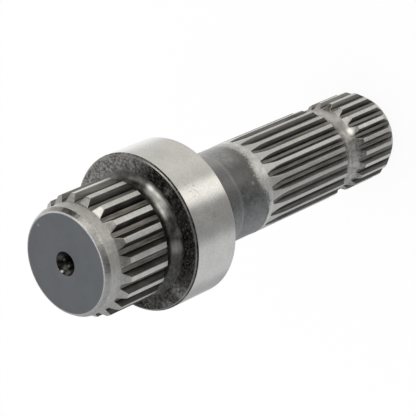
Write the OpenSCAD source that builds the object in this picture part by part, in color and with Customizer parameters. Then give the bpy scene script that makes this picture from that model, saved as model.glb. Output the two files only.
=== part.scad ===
// Transmission output shaft: one forged, turned and splined piece of steel.
// It stands on its power take-off end. Z runs up its axis to the nose, the end inside the gearbox,
// and X through the middle of a tooth of both splines.

/* [Drive spline, inside the gearbox] */
// Number of teeth
drive_teeth = 20; // [16:1:23]
// Teeth per inch of pitch diameter
drive_pitch = 12; // [11:0.5:16]
// Length of the full tooth tops
drive_land_l = 17.9; // [8:0.1:40]
// Axial length of the bevel on the tooth ends that face the nose
drive_lead_l = 2.4; // [1:0.1:5]

/* [Nose] */
// Length of the plain pilot, from the tooth ends to its bevel
pilot_l = 4.8; // [1:0.1:15]
// Radial gap by which the pilot stays under the tooth roots
pilot_drop = 0.05; // [0.05:0.05:1]
// Radial depth of the bevel round the end face
nose_bevel = 1.2; // [0.3:0.1:4]
// Angle of that bevel from the axis
nose_bevel_angle = 31; // [15:1:60]

/* [Collar] */
// Ground outside diameter
collar_d = 58; // [56:0.5:90]
// Width over both faces
collar_w = 20.6; // [8:0.1:50]
// Bevel round the front edge, on the gearbox side
collar_front_bevel = 0.9; // [0.2:0.1:1.5]
// Bevel round the back edge
collar_back_bevel = 0.6; // [0.2:0.1:1.2]

/* [Relief between spline and collar] */
// Axial gap from the tooth tops to the collar's front face
relief_l = 7.3; // [6.8:0.1:20]
// Radial depth of the relief under the tooth roots
relief_drop = 0.25; // [0.1:0.05:0.8]
// Fillet from the relief up to the collar's front face
relief_fillet_r = 3.7; // [1:0.1:4.2]

/* [Journal and neck] */
// Diameter of the machined journal behind the collar
journal_d = 35.2; // [35:0.1:38]
// Length from the collar's back face to the end of the journal
journal_l = 17; // [12:0.1:40]
// Fillet between the collar's back face and the journal
journal_fillet_r = 9; // [1:0.5:10]
// Diameter of the neck that is left as forged
neck_d = 34.6; // [31:0.1:34.8]
// Length of the neck
neck_l = 14; // [3:0.5:60]
// Axial length of the small slope at each end of the neck
neck_slope_l = 0.35; // [0.1:0.05:1]

/* [Power take-off spline] */
// Number of teeth
pto_teeth = 21; // [18:1:22]
// Teeth per inch of pitch diameter
pto_pitch = 16; // [15:0.5:18]
// Radial gap by which the tooth tops stay under their full height
pto_top_drop = 0.03; // [0:0.01:0.2]
// Length turned to the tooth tops' diameter, from the end face
pto_l = 77; // [60:0.5:110]
// Distance from the inner end of that length to the tips of the run-outs
pto_run_out_gap = 2.6; // [0.5:0.1:8]
// Diameter of the hob that leaves the run-outs
hob_d = 50; // [40:1:80]
// Radial step from the tooth roots up to the start of the run-outs
pto_run_out_step = 0.02; // [0.01:0.01:0.1]
// Radial depth of the bevel round the end face
pto_bevel = 2.4; // [1:0.1:4]
// Angle of that bevel from the axis
pto_bevel_angle = 30; // [20:1:45]

/* [Locking groove] */
// Distance of the groove's centre from the end face
groove_from_end = 25.4; // [16:0.1:45]
// Radial depth of the groove under the tooth roots
groove_drop = 0.9; // [0.3:0.1:2.5]
// Radius of the groove's round section
groove_r = 6.8; // [4:0.1:7.5]
// Axial length of the bevel on the tooth ends between the groove and the end face
groove_lead_l = 2.5; // [1:0.1:4]

/* [Centre holes] */
// Diameter of the mouth
centre_mouth_d = 8.5; // [5:0.1:14]
// Diameter of the pilot hole
centre_pilot_d = 4; // [2:0.1:4.8]
// Depth of the pilot hole under the cone
centre_pilot_l = 4.5; // [1:0.1:20]
// Full angle of the cone
centre_angle = 60; // [50:1:90]

/* [Hidden] */

INCH = 25.4;
PRESSURE_ANGLE = 30;
// Height of a tooth top over the pitch line, and depth of a flat root below it, in tooth modules
TOP_HEIGHT = 0.5;
ROOT_DEPTH = 0.675;
// Straight pieces along one flank of a tooth
FLANK_STEPS = 3;
// How far a cutter reaches past what it cuts
OVERCUT = 0.5;
// Degrees of a run-out's arc that lie inside the straight part of its space
RUN_OUT_LAP = 2;
ROUND = 120;

// Radii of the drive spline and of what lies next to it
drive_module = INCH / drive_pitch;
drive_pitch_r = drive_teeth * drive_module / 2;
drive_top_r = drive_pitch_r + TOP_HEIGHT * drive_module;
drive_root_r = drive_pitch_r - ROOT_DEPTH * drive_module;
pilot_r = drive_root_r - pilot_drop;
nose_face_r = pilot_r - nose_bevel;
relief_r = drive_root_r - relief_drop;

// Radii of the collar, the journal and the neck
collar_r = collar_d / 2;
journal_r = journal_d / 2;
neck_r = neck_d / 2;

// Radii of the power take-off spline and its groove
pto_module = INCH / pto_pitch;
pto_pitch_r = pto_teeth * pto_module / 2;
pto_top_r = pto_pitch_r + TOP_HEIGHT * pto_module - pto_top_drop;
pto_root_r = pto_pitch_r - ROOT_DEPTH * pto_module;
pto_face_r = pto_top_r - pto_bevel;
pto_depth = pto_top_r - pto_root_r;
groove_centre_r = pto_root_r - groove_drop + groove_r;

// Heights, from the power take-off end up to the nose. The drive teeth end at 45 degrees towards the relief.
pto_bevel_z = pto_bevel / tan(pto_bevel_angle);
neck_z = pto_l;
journal_z = neck_z + neck_l;
collar_back_z = journal_z + journal_l;
collar_front_z = collar_back_z + collar_w;
drive_z = collar_front_z + relief_l;
drive_back_z = drive_z - (drive_top_r - relief_r);
drive_lead_z = drive_z + drive_land_l;
pilot_z = drive_lead_z + drive_lead_l;
nose_bevel_z = pilot_z + pilot_l;
nose_z = nose_bevel_z + nose_bevel / tan(nose_bevel_angle);

// A run-out starts at its tip and reaches its depth level with the hob's axis, at hob_z
hob_r = hob_d / 2;
run_out_depth = pto_depth - pto_run_out_step;
run_out_l = sqrt(pow(hob_r, 2) - pow(hob_r - run_out_depth, 2));
hob_z = pto_l - pto_run_out_gap - run_out_l;
run_out_angle = acos((hob_r - run_out_depth - OVERCUT) / hob_r);

// The bevel at the groove starts where the groove's round section cuts the tooth roots
groove_root_w = sqrt(pow(groove_r, 2) - pow(groove_r - groove_drop, 2));
groove_lead_z = groove_from_end - groove_root_w;
groove_lead_slope = groove_lead_l / pto_depth;

// Involute of an angle, in degrees
function involute(angle) = tan(angle) * 180 / PI - angle;

// Angle at the axis from the middle of a tooth space to its flank, at radius r
function space_angle(r, pitch_r, teeth) =
    90 / teeth - involute(PRESSURE_ANGLE) + involute(acos(pitch_r * cos(PRESSURE_ANGLE) / r));

// Point at radius r on a flank, as [height over the root, half width of the space]
function flank_point(r, root_r, pitch_r, teeth) =
    let (a = space_angle(r, pitch_r, teeth))
        [r * cos(a) - root_r, r * sin(a)];

// Section of a tooth space, with its flat root near the Y axis and its mouth at +X
module space_section(root_r, top_r, pitch_r, teeth) {
    step = (top_r + OVERCUT - root_r) / FLANK_STEPS;
    flank = [for (i = [0:FLANK_STEPS]) flank_point(root_r + i * step, root_r, pitch_r, teeth)];
    mirrored = [for (i = [FLANK_STEPS:-1:0]) [flank[i][0], -flank[i][1]]];
    polygon(concat(flank, mirrored));
}

module drive_space_section() {
    space_section(drive_root_r, drive_top_r, drive_pitch_r, drive_teeth);
}

module pto_space_section() {
    space_section(pto_root_r, pto_top_r, pto_pitch_r, pto_teeth);
}

// Tooth space of the drive spline, shaped straight through from the nose to the relief
module drive_space() {
    translate([drive_root_r, 0, drive_back_z])
        linear_extrude(height = nose_z + OVERCUT - drive_back_z)
            drive_space_section();
}

// Tooth space of the power take-off spline, with the curved run-out that a round hob leaves
module pto_space() {
    translate([pto_root_r, 0, -OVERCUT])
        linear_extrude(height = hob_z + OVERCUT)
            pto_space_section();
    translate([pto_root_r + pto_run_out_step + hob_r, 0, hob_z])
        rotate([90, run_out_angle - 180, 0])
            rotate_extrude(angle = run_out_angle + RUN_OUT_LAP, $fn = ROUND)
                translate([hob_r, 0])
                    mirror([1, 0])
                        pto_space_section();
}

// Fills the corner between a cylinder of radius corner_r and a wall at corner_z with a fillet.
// side is 1 where the fillet lies above the wall and -1 where it lies below.
module corner_fillet(corner_r, corner_z, fillet_r, side) {
    centre = [corner_r + fillet_r, corner_z + side * fillet_r];
    low_z = side > 0 ? corner_z - OVERCUT : corner_z - fillet_r;
    difference() {
        translate([corner_r - OVERCUT, low_z])
            square([fillet_r + OVERCUT, fillet_r + OVERCUT]);
        translate(centre)
            circle(r = fillet_r, $fn = ROUND);
    }
}

// Half section of the turned blank, from the power take-off end up to the nose
module blank_section() {
    polygon([
        [0, 0],
        [pto_face_r, 0],
        [pto_top_r, pto_bevel_z],
        [pto_top_r, neck_z - neck_slope_l],
        [neck_r, neck_z],
        [neck_r, journal_z - neck_slope_l],
        [journal_r, journal_z],
        [journal_r, collar_back_z],
        [collar_r - collar_back_bevel, collar_back_z],
        [collar_r, collar_back_z + collar_back_bevel],
        [collar_r, collar_front_z - collar_front_bevel],
        [collar_r - collar_front_bevel, collar_front_z],
        [relief_r, collar_front_z],
        [relief_r, drive_back_z],
        [drive_top_r, drive_z],
        [drive_top_r, drive_lead_z],
        [pilot_r, pilot_z],
        [pilot_r, nose_bevel_z],
        [nose_face_r, nose_z],
        [0, nose_z]
    ]);
    corner_fillet(journal_r, collar_back_z, journal_fillet_r, -1);
    corner_fillet(relief_r, collar_front_z, relief_fillet_r, 1);
}

// Half section of what the locking groove and the bevel on its tooth ends take away
module groove_section() {
    outer_r = pto_top_r + OVERCUT;
    translate([groove_centre_r, groove_from_end])
        circle(r = groove_r, $fn = ROUND);
    polygon([
        [pto_root_r, groove_from_end],
        [pto_root_r, groove_lead_z],
        [outer_r, groove_lead_z - (outer_r - pto_root_r) * groove_lead_slope],
        [outer_r, groove_from_end]
    ]);
}

// Centre hole, with its mouth at the origin and its depth along -Z
module centre_hole() {
    cone_l = (centre_mouth_d - centre_pilot_d) / 2 / tan(centre_angle / 2);
    cylinder(d = centre_mouth_d, h = OVERCUT, $fn = ROUND);
    translate([0, 0, -cone_l])
        cylinder(d1 = centre_pilot_d, d2 = centre_mouth_d, h = cone_l, $fn = ROUND);
    translate([0, 0, -cone_l - centre_pilot_l])
        cylinder(d = centre_pilot_d, h = cone_l + centre_pilot_l, $fn = ROUND);
}

module output_shaft() {
    color("#8a8b8d")
        difference() {
            rotate_extrude($fn = ROUND)
                difference() {
                    blank_section();
                    groove_section();
                }
            for (i = [0:drive_teeth - 1])
                rotate([0, 0, (i + 0.5) * 360 / drive_teeth])
                    drive_space();
            for (i = [0:pto_teeth - 1])
                rotate([0, 0, (i + 0.5) * 360 / pto_teeth])
                    pto_space();
            translate([0, 0, nose_z])
                centre_hole();
            mirror([0, 0, 1])
                centre_hole();
        }
}

output_shaft();
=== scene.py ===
"""The looks of a transmission output shaft: one surface of turned, hobbed, ground and forged steel."""
import math

import bpy
import numpy as np
from mathutils import Matrix, Vector


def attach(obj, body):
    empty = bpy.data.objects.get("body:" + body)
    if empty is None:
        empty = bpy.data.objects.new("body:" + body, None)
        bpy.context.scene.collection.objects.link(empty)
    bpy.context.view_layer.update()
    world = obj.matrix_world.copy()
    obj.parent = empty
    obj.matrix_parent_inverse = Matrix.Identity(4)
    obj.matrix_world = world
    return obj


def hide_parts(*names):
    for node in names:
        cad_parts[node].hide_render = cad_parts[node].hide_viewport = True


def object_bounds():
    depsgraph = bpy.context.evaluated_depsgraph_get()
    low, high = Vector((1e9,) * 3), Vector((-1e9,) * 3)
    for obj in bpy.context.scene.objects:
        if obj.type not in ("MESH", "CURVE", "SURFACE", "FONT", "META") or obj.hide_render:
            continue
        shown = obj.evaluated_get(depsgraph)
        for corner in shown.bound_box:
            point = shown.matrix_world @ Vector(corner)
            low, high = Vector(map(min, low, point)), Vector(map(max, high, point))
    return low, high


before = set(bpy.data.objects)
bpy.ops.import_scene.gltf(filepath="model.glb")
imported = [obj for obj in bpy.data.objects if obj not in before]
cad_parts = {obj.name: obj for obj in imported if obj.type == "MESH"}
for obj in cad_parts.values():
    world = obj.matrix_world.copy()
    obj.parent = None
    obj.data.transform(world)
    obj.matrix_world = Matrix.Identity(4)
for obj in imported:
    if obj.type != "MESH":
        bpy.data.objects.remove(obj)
CAD_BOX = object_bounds()
MM = 0.001
INCH = 25.4

# Splines: tooth number, teeth per inch of pitch diameter, and how far the turned tops stay under full
# height; then the heights over and under the pitch circle that both have, in modules
DRIVE_TEETH, DRIVE_PITCH, DRIVE_TOP_DROP = 20, 12.0, 0.0
PTO_TEETH, PTO_PITCH, PTO_TOP_DROP = 21, 16.0, 0.03
PRESSURE_ANGLE = math.radians(30.0)
TOP_HEIGHT, ROOT_DEPTH = 0.5, 0.675

# The far spline's run-outs: the hob's radius, the step in which its arc meets the blank, and where it ends
HOB_R, RUN_OUT_STEP, RUN_OUT_TIP_Z = 25.0, 0.02, 74.4

# The turned profile, in millimetres from the power take-off end
NOSE_Z = 1000.0 * CAD_BOX[1][2] - 1000.0 * CAD_BOX[0][2]
COLLAR_R = 500.0 * (CAD_BOX[1][0] - CAD_BOX[0][0])
JOURNAL_R, NECK_R = 17.6, 17.3
NECK_Z, JOURNAL_Z, COLLAR_BACK_Z, COLLAR_FRONT_Z = 77.0, 91.0, 108.0, 128.6
DRIVE_Z, DRIVE_LEAD_Z, PILOT_Z, NOSE_BEVEL_Z = 135.9, 153.8, 156.2, 161.0
RELIEF_DROP, PILOT_DROP, STEP_L = 0.25, 0.05, 0.35
RELIEF_FILLET_R, JOURNAL_FILLET_R = 3.7, 9.0
COLLAR_FRONT_BEVEL, COLLAR_BACK_BEVEL, SCALED_BEVEL = 0.9, 0.6, 0.42
NOSE_BEVEL, PTO_BEVEL, PTO_BEVEL_ANGLE = 1.2, 2.4, math.radians(30.0)
GROOVE_Z, GROOVE_DROP, GROOVE_R, GROOVE_LEAD_L = 25.4, 0.9, 6.8, 2.5
HOLE_MOUTH_R, HOLE_PILOT_R, HOLE_CONE_L, HOLE_DEPTH = 4.25, 2.0, 3.897, 8.397

# Softened edges: how far an edge is cut back on each side, in millimetres
TOOTH_EDGE, ROOT_EDGE, SOFT, WORN = 0.10, 0.16, 0.14, 0.40

# The surface's grid: the columns round the axis are shared out among a spline's teeth, 21 a tooth on the
# drive spline and 20 on the other, and no two come closer than the least gap. The flat of a top ends a
# margin short of its softened edge. The drive spline's columns begin in front of its bevel.
COLUMNS, LEAST_GAP, TOP_MARGIN, DRIVE_LEAD_IN = 420, 0.012, 0.02, 3.6

# How often the two lengths that have no closed form are worked out anew
INVOLUTE_STEPS, TOP_STEPS = 5, 6

# Where the middle of a quad counts as on a surface, in millimetres: how close to a faced plane, how far
# under a turned surface, and how far under the blank the hob has cut
CLOSE, UNDER, HOBBED_DEPTH = 0.02, 0.05, 0.045

# The camera that was fitted to the photograph: its place, the point it looks at, its roll, its lens and
# sensor in millimetres, and how far it sees in metres
CAMERA_AT = Vector((-0.48010, 0.31519, 0.63718))
CAMERA_AIM = Vector((0.00129, 0.00198, 0.09174))
CAMERA_ROLL = math.radians(-113.97)
CAMERA_LENS, CAMERA_SENSOR, CAMERA_REACH = 190.4, 36.0, 20.0


class Spline:
    """Radii of an involute spline with a flat root, in millimetres, from its tooth number and pitch."""

    def __init__(self, teeth, pitch, top_drop):
        module = INCH / pitch
        self.teeth = teeth
        self.pitch_r = teeth * module / 2
        self.top_r = self.pitch_r + TOP_HEIGHT * module - top_drop
        self.root_r = self.pitch_r - ROOT_DEPTH * module

    def half_width(self, height):
        """Half width of a tooth space at a height over its root: the involute of the pressure angle,
        solved by a few steps because the height is measured along the space's middle."""
        half_angle = np.zeros_like(height)
        for _ in range(INVOLUTE_STEPS):
            r = (self.root_r + height) / np.cos(half_angle)
            at = np.arccos(np.clip(self.pitch_r * math.cos(PRESSURE_ANGLE) / r, -1, 1))
            involute = (np.tan(at) - at) - (math.tan(PRESSURE_ANGLE) - PRESSURE_ANGLE)
            half_angle = math.pi / (2 * self.teeth) + involute
        return (self.root_r + height) * np.tan(half_angle)


DRIVE = Spline(DRIVE_TEETH, DRIVE_PITCH, DRIVE_TOP_DROP)
PTO = Spline(PTO_TEETH, PTO_PITCH, PTO_TOP_DROP)
PILOT_R = DRIVE.root_r - PILOT_DROP
RELIEF_R = DRIVE.root_r - RELIEF_DROP
DRIVE_BEVEL_Z = DRIVE_Z - (DRIVE.top_r - RELIEF_R)
RUN_OUT_L = math.sqrt(HOB_R**2 - (HOB_R - (PTO.top_r - PTO.root_r - RUN_OUT_STEP)) ** 2)
HOB_Z = RUN_OUT_TIP_Z - RUN_OUT_L


def arc(centre, radius, start, end, steps):
    """Points (r, z) of an arc round centre, between two angles from +r towards +z, in degrees."""
    at = np.radians(np.linspace(start, end, steps))
    return [(centre[0] + radius * math.cos(t), centre[1] + radius * math.sin(t)) for t in at]


def softened(points):
    """A profile whose marked corners are cut back: a corner (r, z, cut) becomes three points, the
    middle one drawn in by about half of the way to the chord between the other two."""
    out = []
    for i, point in enumerate(points):
        here = np.array(point[:2])
        if len(point) < 3:
            out.append(tuple(here))
            continue
        before = np.array(points[i - 1][:2]) - here
        after = np.array(points[i + 1][:2]) - here
        cut = point[2]
        a = here + before * min(0.4, cut / np.linalg.norm(before))
        b = here + after * min(0.4, cut / np.linalg.norm(after))
        out += [tuple(a), tuple(0.45 * here + 0.275 * (a + b)), tuple(b)]
    return out


def profile():
    """The turned blank's half section as (r, z) rows, from the far end's centre hole to the nose's. A row
    with a bare radius or height only divides a long stretch, and a share s runs along a bevel."""
    groove_r0 = PTO.root_r - GROOVE_DROP + GROOVE_R
    groove_top = math.degrees(math.acos((groove_r0 - PTO.top_r) / GROOVE_R))
    groove_root = math.degrees(math.acos((groove_r0 - PTO.root_r) / GROOVE_R))
    depth = PTO.top_r - PTO.root_r
    root_z = GROOVE_Z - GROOVE_R * math.sin(math.radians(groove_root))
    points = [(0.0, HOLE_DEPTH), (HOLE_PILOT_R, HOLE_DEPTH, SOFT), (HOLE_PILOT_R, HOLE_CONE_L, SOFT)]
    points += [(HOLE_MOUTH_R, 0.0, SOFT), (9.0, 0.0), (PTO.top_r - PTO_BEVEL, 0.0, SOFT)]
    bevel_l = PTO_BEVEL / math.tan(PTO_BEVEL_ANGLE)
    points += [(PTO.top_r - PTO_BEVEL + PTO_BEVEL * s, bevel_l * s) for s in (0.12, 0.24, 0.45, 0.7)]
    points += [(PTO.top_r, bevel_l, SOFT), (PTO.top_r, 12.0)]
    points += [(PTO.top_r, root_z - GROOVE_LEAD_L, SOFT)]
    points += [(PTO.top_r - depth * s, root_z - GROOVE_LEAD_L * (1 - s)) for s in (0.3, 0.6)]
    points += arc((groove_r0, GROOVE_Z), GROOVE_R, 180 + groove_root, 180 - groove_top + 4, 22)
    points += [(PTO.top_r, GROOVE_Z + GROOVE_R * math.sin(math.radians(groove_top)), SOFT)]
    points += [(PTO.top_r, z) for z in np.linspace(34.0, HOB_Z, 6)]
    points += [(PTO.top_r, HOB_Z + RUN_OUT_L * s) for s in 1 - (1 - np.linspace(0, 1, 20)[1:]) ** 1.5]
    points += [(PTO.top_r, z) for z in (RUN_OUT_TIP_Z + 0.3, RUN_OUT_TIP_Z + 1.2)]
    points += [(PTO.top_r, NECK_Z - STEP_L, SOFT), (NECK_R, NECK_Z, SOFT)]
    points += [(NECK_R, z) for z in np.linspace(NECK_Z, JOURNAL_Z, 16)[1:-1]]
    points += [(NECK_R, JOURNAL_Z - STEP_L, SOFT), (JOURNAL_R, JOURNAL_Z, SOFT)]
    points += [(JOURNAL_R, 95.0)]
    centre = (JOURNAL_R + JOURNAL_FILLET_R, COLLAR_BACK_Z - JOURNAL_FILLET_R)
    points += arc(centre, JOURNAL_FILLET_R, 180, 90, 14)
    points += [(COLLAR_R - COLLAR_BACK_BEVEL, COLLAR_BACK_Z, SOFT)]
    points += [(COLLAR_R, COLLAR_BACK_Z + COLLAR_BACK_BEVEL, SOFT)]
    points += [(COLLAR_R, z) for z in (112.0, 118.0, 124.0)]
    points += [(COLLAR_R, COLLAR_FRONT_Z - COLLAR_FRONT_BEVEL, SOFT)]
    points += [(COLLAR_R - SCALED_BEVEL, COLLAR_FRONT_Z - COLLAR_FRONT_BEVEL + SCALED_BEVEL)]
    points += [(COLLAR_R - COLLAR_FRONT_BEVEL, COLLAR_FRONT_Z, SOFT)]
    points += [(r, COLLAR_FRONT_Z) for r in (27.2, 26.0, 25.0, 24.2)]
    centre = (RELIEF_R + RELIEF_FILLET_R, COLLAR_FRONT_Z + RELIEF_FILLET_R)
    points += arc(centre, RELIEF_FILLET_R, 270, 180, 14)
    rise = DRIVE_Z - DRIVE_BEVEL_Z
    points += [(RELIEF_R, DRIVE_BEVEL_Z, SOFT)]
    points += [(RELIEF_R + rise * s, DRIVE_BEVEL_Z + rise * s) for s in (0.16, 0.4, 0.7)]
    points += [(DRIVE.top_r, DRIVE_Z, SOFT), (DRIVE.top_r, 140.0), (DRIVE.top_r, 145.0)]
    points += [(DRIVE.top_r, 150.0), (DRIVE.top_r, DRIVE_LEAD_Z, SOFT)]
    lead = PILOT_Z - DRIVE_LEAD_Z
    fall = DRIVE.top_r - PILOT_R
    points += [(DRIVE.top_r - fall * s, DRIVE_LEAD_Z + lead * s) for s in (0.3, 0.6, 0.85)]
    points += [(PILOT_R, PILOT_Z, WORN), (PILOT_R, 158.0), (PILOT_R, NOSE_BEVEL_Z, SOFT)]
    points += [(PILOT_R - NOSE_BEVEL, NOSE_Z, WORN), (14.0, NOSE_Z), (9.0, NOSE_Z)]
    points += [(HOLE_MOUTH_R, NOSE_Z, SOFT), (HOLE_PILOT_R, NOSE_Z - HOLE_CONE_L, SOFT)]
    points += [(HOLE_PILOT_R, NOSE_Z - HOLE_DEPTH, SOFT), (0.0, NOSE_Z - HOLE_DEPTH)]
    return np.array(softened(points))


def lifted_floor(z):
    """Height over the root of the PTO spline's floor: the arc that the hob leaves past HOB_Z."""
    past = np.clip(z - HOB_Z, 0, HOB_R)
    return np.where(past > 0, HOB_R - np.sqrt(HOB_R**2 - past**2), 0.0)


def toothed(spline, r, z, lift):
    """Radius and angle of every column of one tooth pitch, for rings of blank radius r at height z, where
    the floor is lifted off the root by lift.
    From the tooth's middle: the top, its softened edge, the flank, the root's softened edge, the floor.
    The edge lies where the flank reaches the blank's radius, so it is followed as the blank narrows
    and as the run-out rises, and the columns close up on the blank where no space is left. Shares of
    edge and foot draw the middle column of a softened edge in, as softened does with a corner."""
    columns = COLUMNS // spline.teeth
    past = np.clip(z - HOB_Z, 0, None) if spline is PTO else np.zeros_like(z)
    floor_x = spline.root_r + lift
    floor_half = spline.half_width(np.zeros_like(r))
    cut = floor_x < r - 1e-6

    def flank(x):
        """Half width of the space at distance x from the axis, across the hob's arc."""
        rho = np.hypot(spline.root_r + HOB_R - x, past)
        height = np.where(past > 0, HOB_R - rho, x - spline.root_r)
        return spline.half_width(np.clip(height, 0, None))

    x_top = np.maximum(r, floor_x)
    for _ in range(TOP_STEPS):
        y_top = flank(x_top)
        x_top = np.maximum(np.sqrt(np.clip(r**2 - y_top**2, 1.0, None)), floor_x)
    y_top = flank(x_top)
    deep = np.clip(x_top - floor_x, 0, None)
    edge = np.minimum(TOOTH_EDGE, 0.25 * deep)
    foot = np.minimum(ROOT_EDGE, 0.25 * deep)

    def on_flank(x):
        """Radius and angle of the flank at distance x from the axis."""
        y = flank(x)
        return np.minimum(np.hypot(x, y), r), np.arctan2(y, x)

    def on_floor(y):
        """Radius and angle of the floor at y from the space's middle, or of the blank where no space is
        cut."""
        x = np.where(cut, floor_x, np.sqrt(np.clip(r**2 - y**2, 0, None)))
        return np.minimum(np.hypot(x, y), r), np.arctan2(y, x)

    pitch = 2 * math.pi / spline.teeth
    top_half = np.maximum(pitch / 2 - np.arctan2(y_top, x_top), 1e-4)
    rows = [(r, pitch / 2 + 0 * r)]
    brim = edge + TOP_MARGIN
    inner = np.clip(1 - 3.5 * brim / (top_half * r), 0.3, 0.9)
    rows.append((r, pitch / 2 - top_half * inner))
    rows.append((r, pitch / 2 - top_half + brim / r))
    corner_r, corner_a = on_flank(x_top - 0.45 * edge)
    rows.append((corner_r - 0.12 * edge, corner_a + 0.25 * edge / r))
    for share in (0.0, 0.33, 0.67, 1.0):
        rows.append(on_flank(x_top - edge - share * (deep - edge - foot)))
    if columns % 2:
        corner_r, corner_a = on_floor(floor_half - 0.12 * foot)
        rows.append((corner_r + np.where(cut, 0.3 * foot, 0), corner_a))
    rows.append(on_floor(floor_half - foot))
    rows.append(on_floor(0.45 * floor_half))
    half_r = np.stack([row[0] for row in rows], axis=1)
    half_a = np.stack([row[1] for row in rows], axis=1)
    gap = LEAST_GAP / np.maximum(r, 2.0)
    for j in range(1, half_a.shape[1]):
        half_a[:, j] = np.minimum(half_a[:, j], half_a[:, j - 1] - gap)
    middle_r = [np.minimum(floor_x, r)[:, None]] if columns % 2 == 0 else []
    middle_a = [np.zeros((len(r), 1))] if columns % 2 == 0 else []
    all_r = np.concatenate([half_r] + middle_r + [half_r[:, :0:-1]], axis=1)
    all_a = np.concatenate([half_a] + middle_a + [-half_a[:, :0:-1]], axis=1)
    return all_r, pitch / 2 - all_a


def around(spline, local_r, local_a):
    """Repeats one tooth pitch's columns round the axis, with a tooth in the middle of column 0."""
    pitch = 2 * math.pi / spline.teeth
    turns = np.arange(spline.teeth) * pitch
    r = np.tile(local_r, (1, spline.teeth))
    a = (local_a[:, None, :] + turns[None, :, None]).reshape(len(local_a), -1)
    return r, a


def shaft_grid():
    """Points of the whole surface as rows of rings: the profile carried round the axis, with the tooth
    spaces cut into it. Away from the splines the columns spread evenly again."""
    rz = profile()[1:-1]
    r, z = rz[:, 0], rz[:, 1]
    radius = np.tile(r[:, None], (1, COLUMNS))
    angle = np.tile(np.arange(COLUMNS) * 2 * math.pi / COLUMNS, (len(r), 1))
    outside = r > HOLE_MOUTH_R + 1.0
    far = outside & (z < NECK_Z - STEP_L - UNDER)
    radius[far], angle[far] = around(PTO, *toothed(PTO, r[far], z[far], lifted_floor(z[far])))
    nose = outside & (z > DRIVE_Z - DRIVE_LEAD_IN)
    radius[nose], angle[nose] = around(DRIVE, *toothed(DRIVE, r[nose], z[nose], 0 * z[nose]))
    x = radius * np.cos(angle)
    y = radius * np.sin(angle)
    return rz, np.stack([x, y, np.tile(z[:, None], (1, COLUMNS))], axis=2) * MM


def finish_numbers(rz, grid):
    """The finish of every quad, as its place in FINISHES: by where its middle lies on the blank's profile,
    and below the blank's surface wherever the hob has been."""
    depth = rz[:, :1] - np.hypot(grid[:, :, 0], grid[:, :, 1]) / MM
    depth = np.maximum(depth, np.roll(depth, -1, axis=1))
    depth = np.maximum(depth[:-1], depth[1:])
    r = (rz[:-1, :1] + rz[1:, :1]) / 2 + 0 * depth
    z = (rz[:-1, 1:] + rz[1:, 1:]) / 2 + 0 * depth
    blank_r = PTO.top_r - CLOSE
    rim_r = PILOT_R - NOSE_BEVEL
    front_r = COLLAR_R - COLLAR_FRONT_BEVEL
    back_r = COLLAR_R - COLLAR_BACK_BEVEL
    fillet_r = RELIEF_R + RELIEF_FILLET_R
    groove_l = GROOVE_R + GROOVE_LEAD_L
    edge_z = COLLAR_FRONT_Z - COLLAR_FRONT_BEVEL
    journal_z = JOURNAL_Z - STEP_L - UNDER
    hole = (r < HOLE_MOUTH_R + SOFT) & ((z < HOLE_DEPTH) | (z > NOSE_Z - HOLE_DEPTH))
    face = (z < CLOSE) | (z > NOSE_Z - CLOSE) & (r < rim_r - WORN)
    scale = (abs(z - COLLAR_FRONT_Z) < CLOSE) | (abs(z - COLLAR_BACK_Z) < CLOSE)
    scale |= (r > COLLAR_R - SCALED_BEVEL) & (r < COLLAR_R - UNDER) & (z > edge_z)
    scale |= (r < front_r + UNDER) & (r > fillet_r + UNDER) & (abs(z - COLLAR_FRONT_Z) < SOFT)
    collar = r > COLLAR_R - UNDER
    tops = (r > DRIVE.top_r - UNDER) & (z > DRIVE_Z)
    tops |= (r > PTO.top_r - UNDER) & (z < RUN_OUT_TIP_Z)
    # The nose's worn edge takes the bright tops finish, partly as the edge's painted highlight
    tops |= (abs(r - rim_r) < WORN + UNDER) & (z > NOSE_Z - WORN)
    fillet = (z > COLLAR_FRONT_Z) & (z < DRIVE_BEVEL_Z - UNDER)
    groove = (abs(z - GROOVE_Z) < groove_l) & (r < blank_r)
    cut = (z < GROOVE_Z - groove_l) & (r < blank_r) | (z > DRIVE_BEVEL_Z - UNDER) & (z < DRIVE_Z)
    cut |= (z > DRIVE_LEAD_Z) & (z < PILOT_Z) | (z > NOSE_BEVEL_Z)
    edge = (z > edge_z) & (z < COLLAR_FRONT_Z)
    neck = (z > RUN_OUT_TIP_Z) & (z < journal_z)
    journal = (z > journal_z) & (z < COLLAR_BACK_Z) & (r < back_r - UNDER)
    hobbed = depth > HOBBED_DEPTH
    cases = [hole, face, hobbed, scale, collar, tops, fillet, groove, cut, edge, neck, journal]
    names = "drilled faced hobbed scale ground tops fillet groove cut edge neck journal".split()
    order = list(FINISHES)
    return np.select(cases, [order.index(name) for name in names], order.index("turned"))


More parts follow.
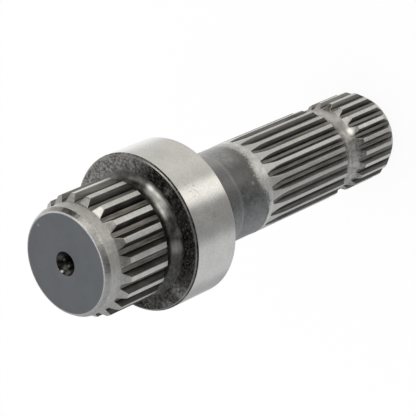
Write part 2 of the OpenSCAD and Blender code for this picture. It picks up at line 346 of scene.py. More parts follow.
def build_shaft():
    """The closed surface: quads between the rings, and a fan to a pole at the bottom of each hole."""
    rz, grid = shaft_grid()
    rings = len(grid)
    poles = np.array([[0, 0, HOLE_DEPTH * MM], [0, 0, (NOSE_Z - HOLE_DEPTH) * MM]])
    points = np.concatenate([grid.reshape(-1, 3), poles])
    ring = np.arange(rings - 1)[:, None] * COLUMNS
    here = np.arange(COLUMNS)
    after = (here + 1) % COLUMNS
    quads = np.stack([ring + here, ring + after, ring + COLUMNS + after, ring + COLUMNS + here], axis=2)
    quads = quads.reshape(-1, 4)
    last = (rings - 1) * COLUMNS
    first_fan = np.stack([after, here, 0 * here + rings * COLUMNS], axis=1)
    last_fan = np.stack([last + here, last + after, 0 * here + rings * COLUMNS + 1], axis=1)
    faces = quads.tolist() + first_fan.tolist() + last_fan.tolist()
    mesh = bpy.data.meshes.new("shaft")
    mesh.from_pydata(points.tolist(), [], faces)
    mesh.polygons.foreach_set("use_smooth", np.ones(len(faces), bool))
    for make in FINISHES.values():
        mesh.materials.append(make())
    drilled = np.full(2 * COLUMNS, list(FINISHES).index("drilled"))
    numbers = np.concatenate([finish_numbers(rz, grid).ravel(), drilled])
    mesh.polygons.foreach_set("material_index", numbers)
    mesh.update()
    shaft = bpy.data.objects.new("shaft", mesh)
    bpy.context.scene.collection.objects.link(shaft)
    weighted = shaft.modifiers.new("flat_faces_stay_flat", "WEIGHTED_NORMAL")
    weighted.mode = "FACE_AREA"
    weighted.weight = 100
    return shaft


def linear(code):
    """An sRGB hex colour as linear RGBA."""
    rgb = [int(code[i : i + 2], 16) / 255 for i in (1, 3, 5)]
    return [c / 12.92 if c <= 0.04045 else ((c + 0.055) / 1.055) ** 2.4 for c in rgb] + [1.0]


# How far apart each finish shows its rings, in millimetres: the real ones, 0.05 to 0.2 mm apart, are too
# fine to show
RING_GAP = {
    "ground": 0.9,
    "tops": 0.7,
    "turned": 0.7,
    "cut": 0.6,
    "groove": 0.6,
    "fillet": 0.5,
    "faced": 0.6,
    "journal": 0.8,
}

# Grain: its size in millimetres, the noise at which it begins and is full, its detail and its roughness.
# The real grain, of a few hundredths of a millimetre, is drawn this coarse to show.
SATIN_GRAIN = (0.7, 0.35, 0.65, 2.0, 0.7)
TURNED_GRAIN = (0.8, 0.40, 0.62, 4.0, 0.7)

# Lengths that are stained, rubbed or cleaner, the journal's line painted light as the edge's highlight,
# and the length where the hobbed spaces have less painted light: the heights between which each lies,
# in millimetres
BELOW_END = -9.0
LENGTHS = {
    "far_end": (BELOW_END, NECK_Z),
    "far_spline": (BELOW_END, 80.0),
    "end_teeth": (BELOW_END, GROOVE_Z - 4),
    "tooth_ends": (10.0, 21.6),
    "dimmer_light_length": (GROOVE_Z, NECK_Z),
    "journal_highlight_line": (JOURNAL_Z + 0.45, JOURNAL_Z + 0.9),
    "nose_edge": (NOSE_Z - 1, NOSE_Z + 1),
}

# Sides of the shaft that are lighter or darker than the rest: the azimuth of each, and the degrees from
# there at which it begins and is full. The lighter sides of the tops, the turned lengths, the groove, the
# fillet, the hobbed spaces, the neck and the journal, and the scale's grey side, are painted light; the
# darker sides of the fillet, the neck and the journal are painted shade, and so is the neck's brown scorch
# in part. The scale's far side is lighter and patchier, and the neck's loose side is where its edge frays
# widest.
SIDES = {
    "tops_painted_light": (228, 26, 10),
    "turned_painted_light": (230, 22, 8),
    "groove_painted_light": (200, 45, 20),
    "fillet_painted_shade": (205, 26, 12),
    "fillet_painted_light": (255, 36, 14),
    "fillet_far_painted_shade": (72, 42, 22),
    "hobbed_painted_light": (225, 42, 16),
    "scale_painted_light": (242, 60, 30),
    "scale_far": (70, 38, 12),
    "neck_loose": (163, 62, 44),
    "neck_scorch_and_painted_shade": (174, 40, 16),
    "neck_painted_shade": (162, 24, 6),
    "neck_painted_light": (208, 46, 18),
    "journal_painted_shade": (163, 26, 8),
    "journal_painted_light": (203, 48, 18),
}

# Single marks: the azimuth, radius and height of each, and the millimetres at which it begins and is full
MARKS = {
    "scuff": (158, COLLAR_R, 121.5, 5.5, 1.0),
    "pit": (136, COLLAR_R, 117.4, 1.6, 0.4),
    # The groove's rubbed spot is also a painted highlight
    "groove_rub_highlight": (156, 15.5, 22.3, 2.3, 0.3),
    "groove_stain": (168, PTO.root_r - GROOVE_DROP, GROOVE_Z, 3.6, 1.2),
    "rust": (278, 14.8, NOSE_Z, 0.6, 0.2),
    "nick": (254, 16.5, NOSE_Z, 0.7, 0.2),
    "chip": (144.5, NECK_R, 82.9, 1.1, 0.3),
}

# Where the fillet is rubbed bright, in patches that are also painted highlights: azimuth, slope of
# the fillet there, size in millimetres, and how much
FILLET_RUBS_AND_HIGHLIGHTS = [
    (152, 30, 2.6, 0.55),
    (159, 28, 3.0, 0.60),
    (166, 38, 3.6, 0.60),
    (178, 38, 3.2, 0.40),
    (182, 72, 2.8, 0.55),
    (160, 78, 3.0, 0.40),
    (171, 80, 3.0, 0.50),
    (131, 76, 2.6, 0.35),
    (206, 30, 2.6, 0.30),
    (118, 40, 3.8, 0.45),
]

# The painted highlights in the nose's centre hole: azimuth, radius, depth, size, and how much
HOLE_HIGHLIGHTS = [
    (354, 4.0, 0.2, 0.8, 0.9),
    (296, 2.9, 2.3, 0.55, 0.6),
    (354, 2.6, 2.9, 0.7, 0.45),
    (350, 3.2, 1.8, 1.5, 0.20),
    (30, 3.7, 1.0, 1.6, 0.30),
    (276, 3.7, 1.0, 1.6, 0.22),
]

# How much of a bright patch's size is bright in full, and of a worn blotch's on the scale
RUB_CORE, BLOTCH_CORE = 0.2, 0.3

# Worn blotches on the collar's face: azimuth, radius, size in millimetres, and how much
SCALE_BLOTCHES = [
    (166, 25.2, 2.8, 0.9),
    (75, 25.2, 3.2, 0.8),
    (60, 27.6, 2.2, 0.6),
]

# The bright edge on the neck: its mean height, then where it departs from that, as the azimuth, the
# degrees at which the shift begins and is full, and how far up it goes in millimetres. Then how wide it
# frays where the skin sits tight and where it is loose, and how far the scorch, a brown stain that is
# also painted shade, reaches over it, all in millimetres.
NECK_EDGE_Z = 77.5
NECK_EDGE = [(202, 42, 20, 0.8), (151, 26, 4, 2.1), (88, 44, 28, -1.1)]
TIGHT_FRAY, LOOSE_FRAY, BURNT_SHADE_L = 0.4, 1.7, 8.0

# Over the root of the hobbed spaces: the heights in millimetres between which the dark foot, oil and
# painted shade in the root's corner, fades out
OILY_SHADED_FOOT = (0.3, 1.1)

# The rim of the end faces that is painted light as the edge's highlight: how far inside the bevel it
# begins and is full
RIM_HIGHLIGHT = (0.75, 0.35)


def add(tree, kind, into=(), **settings):
    """Adds a node with its settings, and fills its inputs: a socket is linked, a hex colour or any other
    value is set."""
    node = tree.nodes.new("ShaderNode" + kind)
    for name, value in settings.items():
        setattr(node, name, value)
    for key, value in dict(into).items():
        if isinstance(value, bpy.types.NodeSocket):
            tree.links.new(value, node.inputs[key])
        else:
            node.inputs[key].default_value = linear(value) if isinstance(value, str) else value
    return node


def toward(azimuth, elevation=0.0):
    """The unit vector towards an azimuth and an elevation, in degrees."""
    a, e = math.radians(azimuth), math.radians(elevation)
    return Vector((math.cos(e) * math.cos(a), math.cos(e) * math.sin(a), math.sin(e)))


def new_tree(name):
    """A fresh material by name, with its node tree and its shader."""
    material = bpy.data.materials.new(name)
    material.use_nodes = True
    return material, material.node_tree, material.node_tree.nodes["Principled BSDF"]


def place(tree):
    """Where a point lies: its Object coordinates, the way outwards from the axis there, its distance from
    the axis and its height."""
    at = add(tree, "TexCoord").outputs["Object"]
    flat = add(tree, "VectorMath", {0: at, 1: (1, 1, 0)}, operation="MULTIPLY").outputs[0]
    outward = add(tree, "VectorMath", {0: flat}, operation="NORMALIZE").outputs[0]
    radius = add(tree, "VectorMath", {0: flat}, operation="LENGTH").outputs["Value"]
    height = add(tree, "SeparateXYZ", {0: at}).outputs["Z"]
    return at, outward, radius, height


def spot(tree, at, azimuth, r, z, edge, core):
    """A soft round spot round a place on the shaft: 1 within core millimetres of it, 0 beyond edge
    millimetres. The place is an azimuth in degrees, a radius and a height in millimetres."""
    centre = toward(azimuth) * r * MM + Vector((0, 0, z * MM))
    far = add(tree, "VectorMath", {0: at, 1: centre}, operation="DISTANCE").outputs["Value"]
    limits = {0: far, 1: core * MM, 2: edge * MM, 3: 1.0, 4: 0.0}
    return add(tree, "MapRange", limits, interpolation_type="SMOOTHSTEP").outputs[0]


def near(tree, direction, azimuth, edge, core, elevation=0.0):
    """A soft round mask of a direction: 1 within core degrees of the azimuth and elevation, 0 beyond edge
    degrees."""
    centre = toward(azimuth, elevation)
    dot = add(tree, "VectorMath", {0: direction, 1: centre}, operation="DOT_PRODUCT").outputs["Value"]
    limits = {0: dot, 1: math.cos(math.radians(edge)), 2: math.cos(math.radians(core))}
    return add(tree, "MapRange", limits, interpolation_type="SMOOTHSTEP").outputs[0]


def band(tree, height, low, high, blur=0.3):
    """A band round the shaft: 1 between two heights in millimetres, with a blurred edge on both sides."""
    over = {0: height, 1: (low - blur) * MM, 2: (low + blur) * MM}
    over = add(tree, "MapRange", over, interpolation_type="SMOOTHSTEP").outputs[0]
    past = {0: height, 1: (high - blur) * MM, 2: (high + blur) * MM}
    past = add(tree, "MapRange", past, interpolation_type="SMOOTHSTEP").outputs[0]
    return add(tree, "Math", {0: over, 1: past}, operation="SUBTRACT").outputs[0]


def patches(tree, at, size, low=0.3, high=0.7, detail=3.0, roughness=0.55):
    """Irregular patches of a size in millimetres: noise, spread smoothly from 0 at low to 1 at high. Those
    under a millimetre stand for streaks, flecks and scratches that are really a tenth of it, too fine to
    show."""
    noise = {"Vector": at, "Scale": 1000 / size, "Detail": detail, "Roughness": roughness}
    noise = add(tree, "TexNoise", noise).outputs[0]
    limits = {0: noise, 1: low, 2: high}
    return add(tree, "MapRange", limits, interpolation_type="SMOOTHSTEP").outputs[0]


def rings(tree, radius, height, spacing):
    """Rings round the axis, as a turning tool or a grinding wheel leaves them: patches that read only the
    distance from the axis and the height, so they are the same all the way round."""
    line = add(tree, "CombineXYZ", {"X": radius, "Z": height}).outputs[0]
    return patches(tree, line, spacing, 0.35, 0.65, 2.0, 0.6)


def bright_spots(tree, at, rubbed, spots):
    """A mask with bright patches added to it, rubbed metal and painted highlights: azimuth, radius,
    height, size and how much of each.
    """
    for azimuth, r, z, size, share in spots:
        mask = spot(tree, at, azimuth, r, z, size, RUB_CORE * size)
        rubbed = {0: mask, 1: share, 2: rubbed}
        rubbed = add(tree, "Math", rubbed, operation="MULTIPLY_ADD", use_clamp=True).outputs[0]
    return rubbed


def coats(tree, tone, *over):
    """Colours laid one over another: the lowest, then a mask, a share and a colour for each coat."""
    for mask, share, colour in over:
        mask = add(tree, "Math", {0: mask, 1: share}, operation="MULTIPLY").outputs[0]
        tone = add(tree, "Mix", {0: mask, 6: tone, 7: colour}, data_type="RGBA").outputs[2]
    return tone


def dress(tree, shader, colour, sheen, relief):
    """Bare metal: its colour, its roughness as a mask with the roughness at 0 and at 1, and its relief as
    a mask with its depth in millimetres."""
    shader.inputs["Metallic"].default_value = 1.0
    tree.links.new(colour, shader.inputs["Base Color"])
    roughness = add(tree, "Mix", {0: sheen[0], 2: sheen[1], 3: sheen[2]}, data_type="FLOAT")
    tree.links.new(roughness.outputs[0], shader.inputs["Roughness"])
    bump = add(tree, "Bump", {"Height": relief[0], "Distance": relief[1] * MM})
    tree.links.new(bump.outputs[0], shader.inputs["Normal"])


def oil_film(shader, weight, roughness):
    """A film of oil over the metal, which turns pale towards the outline: the weight and the roughness of
    the shader's coat."""
    shader.inputs["Coat Weight"].default_value = weight
    shader.inputs["Coat Roughness"].default_value = roughness


def ground_steel():
    """Hardened steel, cylindrically ground: a bright satin skin with the finest rings round it, some soft
    grain, a few handling marks and one shallow pit."""
    material, tree, shader = new_tree("ground_steel")
    at, _, radius, height = place(tree)
    fine = rings(tree, radius, height, RING_GAP["ground"])
    broad = patches(tree, at, 9.0)
    scuffed = spot(tree, at, *MARKS["scuff"])
    scratches = patches(tree, at, 0.9, 0.54, 0.60, 4.0, 0.7)
    scratches = add(tree, "Math", {0: scratches, 1: scuffed}, operation="MULTIPLY").outputs[0]
    pit = spot(tree, at, *MARKS["pit"])
    ragged = patches(tree, at, 0.7, 0.42, 0.58)
    pit = add(tree, "Math", {0: pit, 1: ragged}, operation="MULTIPLY").outputs[0]
    grain = patches(tree, at, *SATIN_GRAIN)
    tone = coats(tree, "#bdbcb9", (broad, 1.0, "#c9c8c5"), (fine, 0.15, "#b0afac"))
    tone = coats(tree, tone, (grain, 0.4, "#a6a5a2"), (scratches, 0.7, "#8c8a86"), (pit, 0.45, "#86847f"))
    dress(tree, shader, tone, (broad, 0.19, 0.24), (fine, 0.0006))
    return material


def turned_tops():
    """The teeth's tops and the nose's worn edge: turned steel rubbed bright by what slid on it, under a
    film of oil; on the nose's edge the brightness is also a painted highlight. The far spline's tops are
    duller, but for the short teeth at its end, and one side of both splines is painted light."""
    material, tree, shader = new_tree("turned_tooth_tops")
    at, outward, radius, height = place(tree)
    fine = rings(tree, radius, height, RING_GAP["tops"])
    broad = patches(tree, at, 3.5)
    far_end = band(tree, height, *LENGTHS["far_end"], blur=1.0)
    end_teeth = band(tree, height, *LENGTHS["end_teeth"], blur=1.0)
    tone = coats(tree, "#b7b7b5", (broad, 1.0, "#c7c7c5"))
    tone = coats(tree, tone, (far_end, 0.4, "#9f9f9d"), (end_teeth, 0.5, "#cfcfcd"))
    grain = patches(tree, at, 0.7, 0.4, 0.65, 3.0, 0.7)
    nose_edge = band(tree, height, *LENGTHS["nose_edge"])
    # Painted light on one side of both splines
    painted_light_side = near(tree, outward, *SIDES["tops_painted_light"])
    tone = coats(tree, tone, (nose_edge, 0.5, "#8a8987"), (painted_light_side, 0.5, "#e0e0de"))
    tone = coats(tree, tone, (fine, 0.3, "#9f9e9b"), (grain, 0.35, "#8f8e8b"))
    oil_film(shader, 0.5, 0.3)
    dress(tree, shader, tone, (broad, 0.38, 0.46), (fine, 0.0018))
    return material


def turned_steel():
    """Steel as the lathe leaves it: a grey sheen broken by fine rings, a little stained, and painted light
    on one side."""
    material, tree, shader = new_tree("turned_steel")
    at, outward, radius, height = place(tree)
    fine = rings(tree, radius, height, RING_GAP["turned"])
    broad = patches(tree, at, 3.0, 0.3, 0.7, 4.0)
    grain = patches(tree, at, *TURNED_GRAIN)
    # Painted light on one side
    painted_light_side = near(tree, outward, *SIDES["turned_painted_light"])
    tone = coats(tree, "#aeadaa", (broad, 1.0, "#c1c0bd"), (painted_light_side, 0.5, "#dddcd9"))
    tone = coats(tree, tone, (fine, 0.5, "#9f9e9b"), (grain, 0.4, "#8f8e8a"))
    dress(tree, shader, tone, (broad, 0.46, 0.54), (fine, 0.0024))
    return material


def cut_steel():
    """Bevels: cut with a form tool, so glossier than the turned lengths, with fine rings and grain."""
    material, tree, shader = new_tree("form_cut_steel")
    at, _, radius, height = place(tree)
    fine = rings(tree, radius, height, RING_GAP["cut"])
    broad = patches(tree, at, 2.5, 0.3, 0.7, 4.0)
    grain = patches(tree, at, *TURNED_GRAIN)
    tone = coats(tree, "#9c9b99", (broad, 1.0, "#b2b1ae"), (fine, 0.4, "#8a8988"), (grain, 0.4, "#7f7d7a"))
    dress(tree, shader, tone, (broad, 0.24, 0.34), (fine, 0.0024))
    return material


def dulled_edge():
    """The collar's front edge: a turned bevel, dulled by handling and dark in places."""
    material, tree, shader = new_tree("dulled_edge")
    at, _, _, _ = place(tree)
    broad = patches(tree, at, 5.0)
    grain = patches(tree, at, 0.8, 0.45, 0.65, 4.0, 0.7)
    tone = coats(tree, "#757472", (broad, 1.0, "#908f8c"), (grain, 0.5, "#51504e"))
    dress(tree, shader, tone, (broad, 0.32, 0.42), (grain, 0.003))
    return material


def rubbed_groove():
    """The locking groove: turned smooth, stained, rubbed bright in one spot where the locking ring has
    slid, a spot that is also a painted highlight, with the ends of the teeth at it darker and worn, and
    painted light on one side."""
    material, tree, shader = new_tree("rubbed_groove")
    at, outward, radius, height = place(tree)
    fine = rings(tree, radius, height, RING_GAP["groove"])
    stain = patches(tree, at, 2.2, 0.36, 0.64, 5.0, 0.65)
    grain = patches(tree, at, 0.9, 0.40, 0.60, 4.0, 0.7)
    # The rubbed spot, which is also a painted highlight
    rubbed = spot(tree, at, *MARKS["groove_rub_highlight"])
    tooth_ends = band(tree, height, *LENGTHS["tooth_ends"], blur=0.5)
    worn_ends = coats(tree, "#5e5c59", (grain, 1.0, "#a09e9a"))
    # Painted light on one side
    painted_light_side = near(tree, outward, *SIDES["groove_painted_light"])
    tone = coats(tree, "#827f7d", (stain, 1.0, "#acaaa8"), (tooth_ends, 0.75, worn_ends))
    stained = spot(tree, at, *MARKS["groove_stain"])
    tone = coats(tree, tone, (painted_light_side, 0.4, "#cfccca"), (stained, 0.45, "#6f6d6a"))
    tone = coats(tree, tone, (rubbed, 0.9, "#eceae7"))
    dress(tree, shader, tone, (stain, 0.30, 0.40), (fine, 0.002))
    return material


def worn_fillet():
    """The relief and the fillet in front of the collar: dark, smooth scale with the lathe's rings under
    it, painted shade on two sides and painted light on a third, and rubbed down to bright metal in a few
    places that are also painted highlights. A slope is the angle along the fillet, 0 on the relief and
    90 on the collar's face."""
    material, tree, shader = new_tree("worn_fillet")
    at, outward, radius, height = place(tree)
    fine = rings(tree, radius, height, RING_GAP["fillet"])
    mottle = patches(tree, at, 2.0, 0.34, 0.66, 5.0, 0.65)
    rubbed = add(tree, "Math", {0: mottle, 1: 0.16, 2: -0.08}, operation="MULTIPLY_ADD").outputs[0]
    spots = []
    for azimuth, slope, size, share in FILLET_RUBS_AND_HIGHLIGHTS:
        r = RELIEF_R + RELIEF_FILLET_R * (1 - math.cos(math.radians(slope)))
        z = COLLAR_FRONT_Z + RELIEF_FILLET_R * (1 - math.sin(math.radians(slope)))
        spots.append((azimuth, r, z, size, share))
    # Rubbed bright patches that are also painted highlights
    rubbed = bright_spots(tree, at, rubbed, spots)
    # Painted shade on one side, painted light on another
    painted_dark_side = near(tree, outward, *SIDES["fillet_painted_shade"])
    painted_light_side = near(tree, outward, *SIDES["fillet_painted_light"])
    tone = coats(tree, "#4b4a48", (mottle, 1.0, "#62615f"), (painted_dark_side, 0.4, "#383735"))
    # Painted shade on the far side
    far_side = near(tree, outward, *SIDES["fillet_far_painted_shade"])
    tone = coats(tree, tone, (painted_light_side, 0.6, "#8d8b88"), (far_side, 0.6, "#363533"))
    bright = coats(tree, "#bcbbb8", (fine, 0.5, "#969592"), (mottle, 0.3, "#8a8986"))
    tone = coats(tree, tone, (fine, 0.3, "#393836"), (rubbed, 1.0, bright))
    dress(tree, shader, tone, (mottle, 0.29, 0.35), (mottle, 0.003))
    return material


def hobbed_steel():
    """Flanks and floors that the hob cut: the flanks dark, partly with oil and partly as painted shade,
    and nearly black at their foot, where oil and painted shade fill the root's corner; the floors
    brown-grey, both streaked along the teeth. The far spline is a little lighter and greyer, and one side
    of both is painted light, least between the groove and the neck."""
    material, tree, shader = new_tree("hobbed_steel")
    at, outward, radius, height = place(tree)
    normal = add(tree, "TexCoord").outputs["Normal"]
    faces_out = add(tree, "VectorMath", {0: outward, 1: normal}, operation="DOT_PRODUCT").outputs["Value"]
    on_floor = {0: faces_out, 1: 0.6, 2: 0.9}
    on_floor = add(tree, "MapRange", on_floor, interpolation_type="SMOOTHSTEP").outputs[0]
    drawn = add(tree, "VectorMath", {0: at, 1: (1, 1, 0.08)}, operation="MULTIPLY").outputs[0]
    streaks = patches(tree, drawn, 0.8, 0.4, 0.7)
    broad = patches(tree, at, 5.0, 0.3, 0.7, 4.0)
    far_end = band(tree, height, *LENGTHS["far_spline"])
    # Painted light on one side, less of it between the groove and the neck
    painted_light_side = near(tree, outward, *SIDES["hobbed_painted_light"])
    dimmer_light_length = band(tree, height, *LENGTHS["dimmer_light_length"])
    painted_light_side = {0: dimmer_light_length, 1: -0.6, 2: painted_light_side}
    painted_light_side = add(tree, "Math", painted_light_side, operation="MULTIPLY_ADD", use_clamp=True).outputs[0]
    floor = coats(tree, "#74706b", (broad, 1.0, "#908c86"), (far_end, 0.6, "#7e7b78"))
    floor = coats(tree, floor, (streaks, 0.7, "#4a4642"), (painted_light_side, 0.3, "#b5b1aa"))
    # The flanks' dark tone is partly painted shade
    flank = coats(tree, "#413f3c", (broad, 1.0, "#5a5854"), (far_end, 0.7, "#716f6c"))
    flank = coats(tree, flank, (painted_light_side, 0.65, "#8b8985"))
    # The dark foot in the root's corner: oil and painted shade
    root_r = {0: far_end, 2: DRIVE.root_r * MM, 3: PTO.root_r * MM}
    root_r = add(tree, "Mix", root_r, data_type="FLOAT").outputs[0]
    over_root = add(tree, "Math", {0: radius, 1: root_r}, operation="SUBTRACT").outputs[0]
    oily_shaded_foot = {0: over_root, 1: OILY_SHADED_FOOT[0] * MM, 2: OILY_SHADED_FOOT[1] * MM, 3: 1.0, 4: 0.0}
    oily_shaded_foot = add(tree, "MapRange", oily_shaded_foot, interpolation_type="SMOOTHSTEP").outputs[0]
    flank = coats(tree, flank, (streaks, 0.5, "#292725"), (oily_shaded_foot, 0.75, "#171615"))
    tone = coats(tree, flank, (on_floor, 1.0, floor))
    dress(tree, shader, tone, (broad, 0.46, 0.56), (streaks, 0.003))
    return material


def faced_steel():
    """The end faces: faced flat, an even dark grey, with a rim painted light as the edge's highlight, a
    few light specks, a speck of rust and a nick."""
    material, tree, shader = new_tree("faced_steel")
    at, _, radius, height = place(tree)
    fine = rings(tree, radius, height, RING_GAP["faced"])
    broad = patches(tree, at, 6.0)
    light = patches(tree, at, 0.9, 0.68, 0.74, 3.0, 0.7)
    rust = spot(tree, at, *MARKS["rust"])
    nick = spot(tree, at, *MARKS["nick"])
    # A rim painted light as the edge's highlight
    rim_r = PILOT_R - NOSE_BEVEL
    rim = {0: radius, 1: (rim_r - RIM_HIGHLIGHT[0]) * MM, 2: (rim_r - RIM_HIGHLIGHT[1]) * MM}
    rim = add(tree, "MapRange", rim, interpolation_type="SMOOTHSTEP").outputs[0]
    tone = coats(tree, "#626467", (broad, 1.0, "#696b6e"), (light, 0.8, "#8a8885"))
    tone = coats(tree, tone, (rim, 0.8, "#929496"), (rust, 0.7, "#6e5a4c"), (nick, 0.7, "#9d9c9a"))
    dress(tree, shader, tone, (broad, 0.55, 0.62), (fine, 0.001))
    return material


def drilled_steel():
    """The centre holes: painted near-black as the shade in them, with fine grit, and painted highlights
    in places.
    """
    material, tree, shader = new_tree("drilled_steel")
    at, _, _, _ = place(tree)
    grit = patches(tree, at, 1.2, 0.40, 0.66, 4.0, 0.65)
    rubbed = add(tree, "Math", {0: grit, 1: 0.12}, operation="MULTIPLY").outputs[0]
    spots = [(azimuth, r, NOSE_Z - depth, size, share) for azimuth, r, depth, size, share in HOLE_HIGHLIGHTS]
    rubbed = bright_spots(tree, at, rubbed, spots)
    # Near-black as painted shade, with painted highlights
    tone = coats(tree, "#141312", (rubbed, 1.0, "#b4b2ad"))
    dress(tree, shader, tone, (rubbed, 0.6, 0.4), (grit, 0.02))
    return material


def forging_scale():
    """Forging scale: a black oxide skin, mottled, pitted and flecked, painted light to grey on one side,
    patchy on the far side and worn through in a few blotches."""
    material, tree, shader = new_tree("forging_scale")
    at, outward, _, _ = place(tree)
    mottle = patches(tree, at, 1.3, 0.40, 0.62, 7.0, 0.75)
    broad = patches(tree, at, 6.0, 0.50, 0.70, 2.0)
    flecks = patches(tree, at, 0.8, 0.57, 0.63, 3.0, 0.7)
    # Painted light on one side, with a lit copy of the skin
    rubbed = near(tree, outward, *SIDES["scale_painted_light"])
    dark = coats(tree, "#080707", (mottle, 0.55, "#5a5853"), (broad, 0.4, "#5c5a56"))
    dark = coats(tree, dark, (flecks, 0.7, "#827f7b"))
    light = coats(tree, "#474543", (mottle, 1.0, "#9a9895"))
    patchy = coats(tree, "#1c1b1a", (mottle, 0.8, "#5f5d5a"), (broad, 0.8, "#84827e"))
    far_side = near(tree, outward, *SIDES["scale_far"])
    tone = coats(tree, dark, (rubbed, 1.0, light), (far_side, 0.8, patchy))
    worn = coats(tree, "#32312f", (mottle, 1.0, "#969490"))
    for azimuth, r, size, share in SCALE_BLOTCHES:
        mask = spot(tree, at, azimuth, r, COLLAR_FRONT_Z, size, BLOTCH_CORE * size)
        tone = coats(tree, tone, (mask, share, worn))
    dress(tree, shader, tone, (mottle, 0.42, 0.60), (mottle, 0.025))
    return material


def forged_neck():
    """The neck between the splines: blue-grey forging skin, painted light on one side and painted shade
    on another, with a brown scorch on one side that is also painted shade, and the bright turned steel of
    the spline's blank, which runs out over it in an uneven, frayed edge. A film of oil lies over both."""
    material, tree, shader = new_tree("forged_neck")
    at, outward, _, height = place(tree)
    mottle = patches(tree, at, 1.8, 0.40, 0.62, 5.0, 0.65)
    grain = patches(tree, at, 0.7, 0.3, 0.7, 5.0, 0.75)
    broad = patches(tree, at, 6.0, 0.4, 0.7, 2.0)
    edge = NECK_EDGE_Z * MM
    for azimuth, reach, core, shift in NECK_EDGE:
        mask = near(tree, outward, azimuth, reach, core)
        edge = {0: mask, 1: shift * MM, 2: edge}
        edge = add(tree, "Math", edge, operation="MULTIPLY_ADD").outputs[0]
    above = add(tree, "Math", {0: height, 1: edge}, operation="SUBTRACT").outputs[0]
    loose = near(tree, outward, *SIDES["neck_loose"])
    width = {0: loose, 2: TIGHT_FRAY * MM, 3: LOOSE_FRAY * MM}
    width = add(tree, "Mix", width, data_type="FLOAT").outputs[0]
    step = add(tree, "Math", {0: above, 1: width}, operation="DIVIDE").outputs[0]
    frayed = add(tree, "Math", {0: grain, 1: -1.2, 2: step}, operation="MULTIPLY_ADD").outputs[0]
    skin = {0: frayed, 1: -1.6, 2: 0.4}
    skin = add(tree, "MapRange", skin, interpolation_type="SMOOTHSTEP").outputs[0]
    # The scorch over the edge on one side: a brown stain that is also painted shade
    burnt_and_shaded = {0: above, 1: 0.0, 2: BURNT_SHADE_L * MM, 3: 1.0, 4: 0.0}
    burnt_and_shaded = add(tree, "MapRange", burnt_and_shaded, interpolation_type="SMOOTHSTEP").outputs[0]
    scorch_and_shade = near(tree, outward, *SIDES["neck_scorch_and_painted_shade"])
    burnt_and_shaded = add(tree, "Math", {0: burnt_and_shaded, 1: scorch_and_shade}, operation="MULTIPLY").outputs[0]
    burnt_shaded_skin = coats(tree, "#2f2d2b", (grain, 1.0, "#504c47"))
    chip = spot(tree, at, *MARKS["chip"])
    # Painted shade on one side, painted light on another, with a lit copy of the skin
    painted_shade_side = near(tree, outward, *SIDES["neck_painted_shade"])
    painted_light_side = near(tree, outward, *SIDES["neck_painted_light"])
    dark = coats(tree, "#3b3c3b", (mottle, 1.0, "#5b5c5b"), (broad, 0.5, "#606162"))
    light = coats(tree, "#6b6c6c", (mottle, 1.0, "#828383"))
    dark = coats(tree, dark, (painted_light_side, 1.0, light), (painted_shade_side, 0.4, "#343434"))
    dark = coats(tree, dark, (burnt_and_shaded, 1.0, burnt_shaded_skin), (chip, 0.4, "#a8a7a4"))
    bright = coats(tree, "#adaca9", (mottle, 1.0, "#c2c1be"))
    tone = coats(tree, bright, (skin, 1.0, dark))
    oil_film(shader, 1.0, 0.35)
    dress(tree, shader, tone, (skin, 0.46, 0.5), (mottle, 0.0035))
    return material


def dulled_journal():
    """The journal: turned smooth, then dulled dark grey with the neck under the same film of oil, painted
    light on one side and painted shade on another; a line near its edge is painted light as the edge's
    highlight."""
    material, tree, shader = new_tree("dulled_journal")
    at, outward, radius, height = place(tree)
    fine = rings(tree, radius, height, RING_GAP["journal"])
    broad = patches(tree, at, 5.0)
    # A line painted light as the edge's highlight
    line = band(tree, height, *LENGTHS["journal_highlight_line"], blur=0.15)
    # Painted shade on one side, painted light on another
    painted_shade_side = near(tree, outward, *SIDES["journal_painted_shade"])
    painted_light_side = near(tree, outward, *SIDES["journal_painted_light"])
    grain = patches(tree, at, 1.0, 0.38, 0.62, 4.0, 0.7)
    tone = coats(tree, "#5f5f5f", (broad, 1.0, "#6d6d6d"), (fine, 0.4, "#525252"))
    tone = coats(tree, tone, (grain, 0.6, "#464646"), (painted_light_side, 0.8, "#838383"))
    tone = coats(tree, tone, (painted_shade_side, 0.6, "#3e3e3e"), (line, 0.45, "#858585"))
    oil_film(shader, 1.0, 0.3)
    dress(tree, shader, tone, (broad, 0.38, 0.46), (fine, 0.0018))
    return material


# The finishes in the order of the mesh's materials
FINISHES = {
    "turned": turned_steel,
    "ground": ground_steel,
    "tops": turned_tops,
    "cut": cut_steel,
    "edge": dulled_edge,
    "groove": rubbed_groove,
    "fillet": worn_fillet,
    "hobbed": hobbed_steel,
    "faced": faced_steel,
    "drilled": drilled_steel,
    "scale": forging_scale,
    "neck": forged_neck,
    "journal": dulled_journal,
}

# The room that the metal shows: soft round patches on a pale wall, each with its azimuth and elevation,
# the degrees at which it begins and is full, and how much brighter or darker it is than the wall. Where
# they add up, the room is never darker than the darkest.
WALL, DARKEST = 0.81, 0.04
PATCHES = [
    (-12, -43, 34, 8, -0.28),
    (62, -43, 35, 10, 0.15),
    (120, -42, 26, 12, -0.34),
    (118, 0, 34, 14, -0.35),
    (122, 22, 32, 14, -0.32),
    (115, 62, 34, 14, -0.50),
    (163, -45, 13.5, 4, 1.05),
    (163, -18, 16, 5, 0.9),
    (161, 9, 16, 5, 1.3),
    (-170, 21, 16, 5, 0.8),
    (-157, 20, 13, 4, 1.0),
    (-148, 39, 13, 5, 1.05),
    (-136, 52, 18, 7, 3.0),
    (-121, 4, 23, 9, -0.85),
    (-135, -48, 45, 20, 0.18),
    (-152, -43, 14, 3, 0.12),
    (-91, 25, 16, 4, 0.25),
    (-64, -16, 22, 8, 0.35),
    (-42, 72, 28, 10, 1.4),
    (-50, -41, 31, 8, 0.50),
]

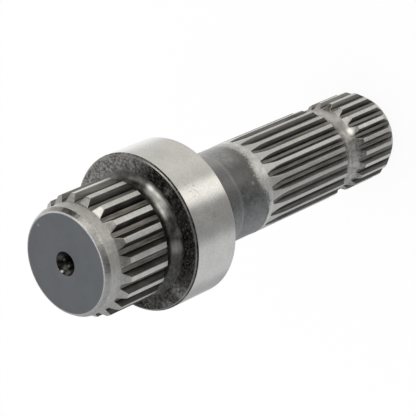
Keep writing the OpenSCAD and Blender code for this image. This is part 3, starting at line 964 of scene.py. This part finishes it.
# The room is warmer on one side than on the other: where to, with the degrees at which that begins and is
# full, and both tints
WARM_TOWARDS = (-156, 120, 40)
WARM_SIDE, COOL_SIDE, WHITE = (1.0, 0.975, 0.93, 1.0), (0.965, 0.985, 1.0, 1.0), (1, 1, 1, 1)

# The floor: half its width in metres, and how much of what the camera sees there is its own white
FLOOR_HALF, FLOOR_GLOW = 3.0, 0.91


def studio():
    """A white floor in a white room. The floor is nearly white to the camera and keeps a soft shadow;
    metal looks past it to the room, which goes on below the horizon."""
    mesh = bpy.data.meshes.new("floor")
    half = FLOOR_HALF
    corners = [(-half, -half, 0), (half, -half, 0), (half, half, 0), (-half, half, 0)]
    mesh.from_pydata(corners, [], [(0, 1, 2, 3)])
    floor = bpy.data.objects.new("floor", mesh)
    bpy.context.scene.collection.objects.link(floor)
    floor.visible_glossy = False
    material, tree, shader = new_tree("white_paper")
    shader.inputs["Base Color"].default_value = linear("#ffffff")
    shader.inputs["Roughness"].default_value = 0.9
    shader.inputs["Specular IOR Level"].default_value = 0.0
    seen = add(tree, "LightPath").outputs["Is Camera Ray"]
    share = add(tree, "Math", {0: seen, 1: FLOOR_GLOW}, operation="MULTIPLY").outputs[0]
    glow = add(tree, "Emission", {"Strength": 1.0})
    mix = add(tree, "MixShader", {0: share, 1: shader.outputs[0], 2: glow.outputs[0]})
    tree.links.new(mix.outputs[0], tree.nodes["Material Output"].inputs[0])
    floor.data.materials.append(material)

    world = bpy.data.worlds.new("studio")
    bpy.context.scene.world = world
    world.use_nodes = True
    tree = world.node_tree
    direction = add(tree, "TexCoord").outputs["Object"]
    light = WALL
    for azimuth, elevation, edge, core, change in PATCHES:
        mask = near(tree, direction, azimuth, edge, core, elevation)
        light = add(tree, "Math", {0: mask, 1: change, 2: light}, operation="MULTIPLY_ADD").outputs[0]
    light = add(tree, "Math", {0: light, 1: DARKEST}, operation="MAXIMUM").outputs[0]
    path = add(tree, "LightPath").outputs
    shown = {0: path["Is Glossy Ray"], 1: path["Is Transmission Ray"]}
    shown = add(tree, "Math", shown, operation="MAXIMUM").outputs[0]
    strength = add(tree, "Mix", {0: shown, 2: 1.0, 3: light}, data_type="FLOAT").outputs[0]
    tree.links.new(strength, tree.nodes["Background"].inputs["Strength"])
    warm = near(tree, direction, *WARM_TOWARDS)
    tint = {0: warm, 6: COOL_SIDE, 7: WARM_SIDE}
    tint = add(tree, "Mix", tint, data_type="RGBA").outputs[2]
    colour = {0: shown, 6: WHITE, 7: tint}
    colour = add(tree, "Mix", colour, data_type="RGBA").outputs[2]
    tree.links.new(colour, tree.nodes["Background"].inputs["Color"])


def camera():
    """The photograph's view, as a long lens from the nose's side with the camera rolled over."""
    data = bpy.data.cameras.new("camera")
    data.lens, data.sensor_width, data.sensor_fit = CAMERA_LENS, CAMERA_SENSOR, "HORIZONTAL"
    data.clip_end = CAMERA_REACH
    eye = bpy.data.objects.new("camera", data)
    bpy.context.scene.collection.objects.link(eye)
    look = (CAMERA_AIM - CAMERA_AT).to_track_quat("-Z", "Y").to_matrix().to_4x4()
    eye.matrix_world = Matrix.Translation(CAMERA_AT) @ look @ Matrix.Rotation(CAMERA_ROLL, 4, "Z")
    bpy.context.scene.camera = eye


shaft = build_shaft()
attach(shaft, "root")
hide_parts("output_shaft")
studio()
camera()
bpy.context.scene.view_settings.view_transform = "Standard"
